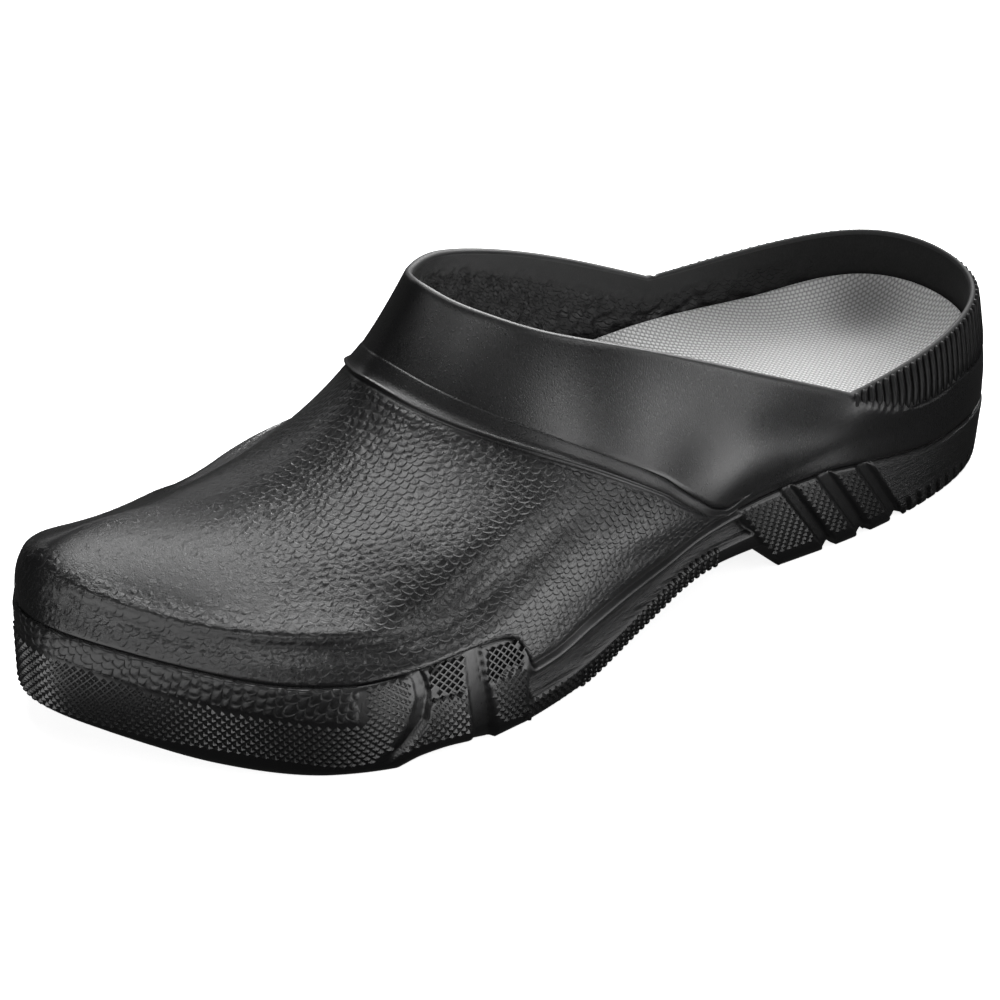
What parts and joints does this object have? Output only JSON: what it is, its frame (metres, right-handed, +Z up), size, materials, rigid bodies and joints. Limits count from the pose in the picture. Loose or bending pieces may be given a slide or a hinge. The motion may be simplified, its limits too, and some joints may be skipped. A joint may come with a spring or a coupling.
{
  "type": "garden clog",
  "caption": "Left garden clog: a hollow moulded upper with a raised collar band and a low open heel, on a thick grooved sole with a loose dished insole.",
  "frame": {"origin": "centre of the bounding box, on the floor that the sole stands on", "axes": "+X to the toe, +Y to the wearer's left (the outer side of this left shoe), +Z up"},
  "size_m": [0.2856, 0.107, 0.0945],
  "materials": {
    "upper": "satin, embossed",
    "outsole": "satin, knurled",
    "insole": "matt woven"
  },
  "bodies": {
    "root": {"upper": "upper", "outsole": "outsole", "insole": "insole"}
  },
  "joints": []
}
